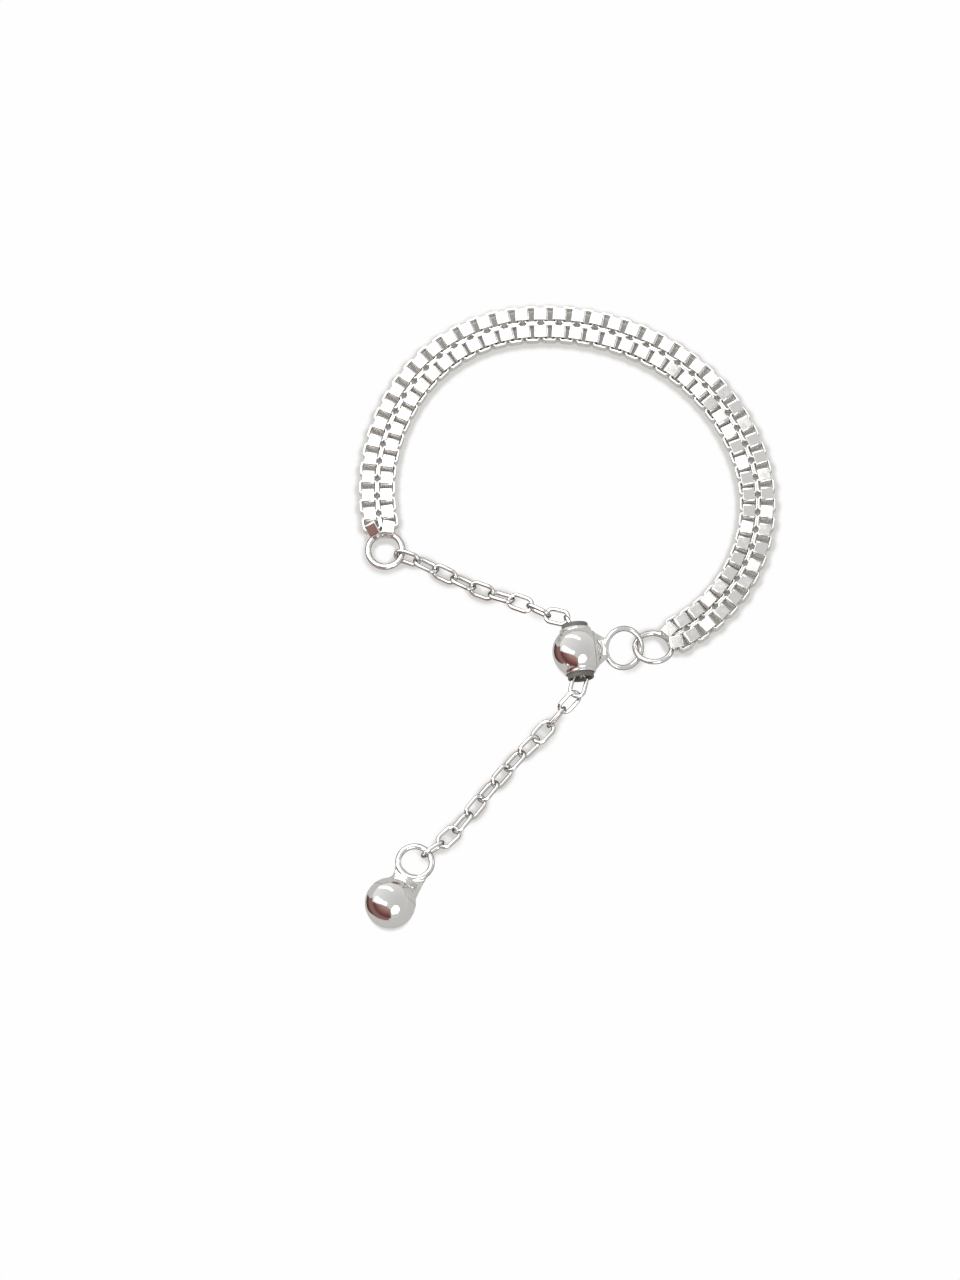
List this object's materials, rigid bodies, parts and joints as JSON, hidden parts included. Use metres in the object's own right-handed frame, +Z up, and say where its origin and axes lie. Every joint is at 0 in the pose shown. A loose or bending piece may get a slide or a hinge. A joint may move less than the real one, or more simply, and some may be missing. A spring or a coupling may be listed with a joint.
{
  "type": "adjustable ring",
  "caption": "Adjustable silver finger ring: a double box chain band closed by a cable chain that runs through a slider bead and ends in a ball.",
  "frame": {"origin": "the middle of the foot of the whole ring's box, on the surface that it lies on", "axes": "+Z up out of the surface; +Y from the end ball towards the far side of the band; +X to the right, towards the side where the slider hangs"},
  "size_m": [0.0208, 0.0324, 0.0025],
  "materials": {
    "silver": "polished sterling silver",
    "core": "satin grey silicone"
  },
  "bodies": {
    "root": {"band_chain": "silver", "left_end_ring": "silver", "right_end_ring": "silver", "cable_chain": "silver", "slider_bead": "silver", "slider_core": "core", "end_ball": "silver"}
  },
  "joints": []
}
